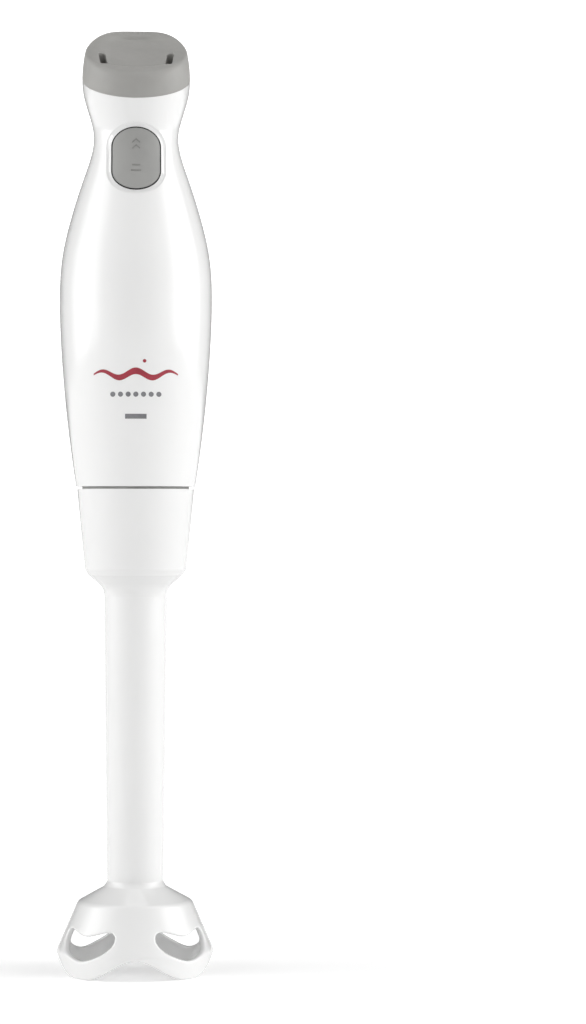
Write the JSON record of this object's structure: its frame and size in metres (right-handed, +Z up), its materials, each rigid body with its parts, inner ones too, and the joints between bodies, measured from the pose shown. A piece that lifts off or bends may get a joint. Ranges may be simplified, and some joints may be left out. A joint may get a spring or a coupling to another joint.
{
  "type": "immersion blender",
  "caption": "Upright stick blender: a waisted motor handle with a front push button on a screw-off foot with a windowed bell guard.",
  "frame": {"origin": "centre of the bell guard's mouth, on the plane of its four feet", "axes": "+Z up along the motor axis, -Y to the front where the button is, +X to the right seen from the front"},
  "size_m": [0.0624, 0.0624, 0.3781],
  "materials": {
    "shell_white": "gloss",
    "foot_white": "gloss",
    "cap_grey": "satin",
    "button_grey": "satin",
    "gasket_black": "matte",
    "seam_rubber": "matte",
    "inner_plastic": "satin",
    "black_plastic": "satin",
    "blade_steel": "brushed",
    "shaft_steel": "ground",
    "screw_steel": "plated",
    "lamination_steel": "varnished",
    "copper_wire": "enamelled",
    "commutator_copper": "turned",
    "bronze": "sintered",
    "brass_sheet": "plain",
    "carbon": "matte",
    "spring_steel": "drawn",
    "board_laminate": "satin",
    "capacitor_yellow": "gloss"
  },
  "bodies": {
    "foot": {"foot_tube": "foot_white", "bell_guard": "foot_white", "bearing_plate": "inner_plastic", "bearing_plate_screws": "screw_steel", "upper_shaft_bush": "bronze", "lower_shaft_bush": "bronze", "lip_seal": "gasket_black"},
    "blade_shaft": {"drive_shaft": "shaft_steel", "driven_coupling": "black_plastic", "shaft_circlip": "spring_steel", "thrust_washer": "shaft_steel", "blade": "blade_steel", "blade_nut": "blade_steel"},
    "seam_ring": {"foot_seal": "seam_rubber"},
    "handle": {"front_shell": "shell_white", "rear_shell": "shell_white", "top_cap": "cap_grey", "shell_screws": "screw_steel", "button_gasket": "gasket_black", "cord_gland": "gasket_black", "cord_clamp": "inner_plastic", "cord_clamp_screws": "screw_steel", "coupling_socket": "inner_plastic", "splash_seal": "gasket_black", "switch_bracket": "inner_plastic", "switch_body": "black_plastic", "switch_terminals": "brass_sheet", "emc_board": "board_laminate", "emc_capacitor": "capacitor_yellow", "emc_choke": "copper_wire", "stator_core": "lamination_steel", "field_coils": "copper_wire", "upper_bracket": "black_plastic", "lower_bracket": "black_plastic", "motor_bolts": "screw_steel", "upper_bearing": "bronze", "lower_bearing": "bronze", "upper_mount_ring": "gasket_black", "lower_mount_ring": "gasket_black", "brush_holders": "brass_sheet", "carbon_brushes": "carbon", "brush_springs": "spring_steel"},
    "rotor": {"motor_shaft": "shaft_steel", "armature_core": "lamination_steel", "armature_windings": "copper_wire", "commutator": "commutator_copper", "fan": "black_plastic", "drive_coupling": "black_plastic"},
    "button": {"button": "button_grey", "button_spring": "spring_steel"},
    "switch_lever": {"switch_lever": "spring_steel"},
    "switch_plunger": {"switch_plunger": "gasket_black"}
  },
  "joints": [
    {"name": "blade_spin", "type": "hinge", "parent": "foot", "child": "blade_shaft", "pos_m": [0, 0, 0.012], "axis": [0, 0, 1], "continuous": true},
    {"name": "foot_release", "type": "slide", "parent": "foot", "child": "seam_ring", "axis": [0, 0, 1], "range_m": [0, 0.048]},
    {"name": "foot_twist", "type": "hinge", "parent": "seam_ring", "child": "handle", "pos_m": [0, 0, 0.1927], "axis": [0, 0, 1], "range_deg": [0, 30]},
    {"name": "motor_spin", "type": "hinge", "parent": "handle", "child": "rotor", "pos_m": [0, 0, 0.254], "axis": [0, 0, 1], "continuous": true},
    {"name": "button_press", "type": "slide", "parent": "handle", "child": "button", "axis": [0, 1, 0], "range_m": [0, 0.0018], "stiffness_N_per_m": 1000, "springref_m": -0.0012, "deforming": ["button_spring"]},
    {"name": "lever_tilt", "type": "hinge", "parent": "handle", "child": "switch_lever", "pos_m": [0, -0.0033, 0.3136], "axis": [-1, 0, 0], "range_deg": [0, 8.1]},
    {"name": "plunger_press", "type": "slide", "parent": "handle", "child": "switch_plunger", "axis": [0, 1, 0], "range_m": [0, 0.0005]}
  ],
  "couplings": [
    {"joint": "blade_spin", "follows": "motor_spin", "ratio": 1},
    {"joint": "lever_tilt", "follows": "button_press", "rad_per_m": 77.5},
    {"joint": "plunger_press", "follows": "button_press", "ratio": 0.277}
  ]
}
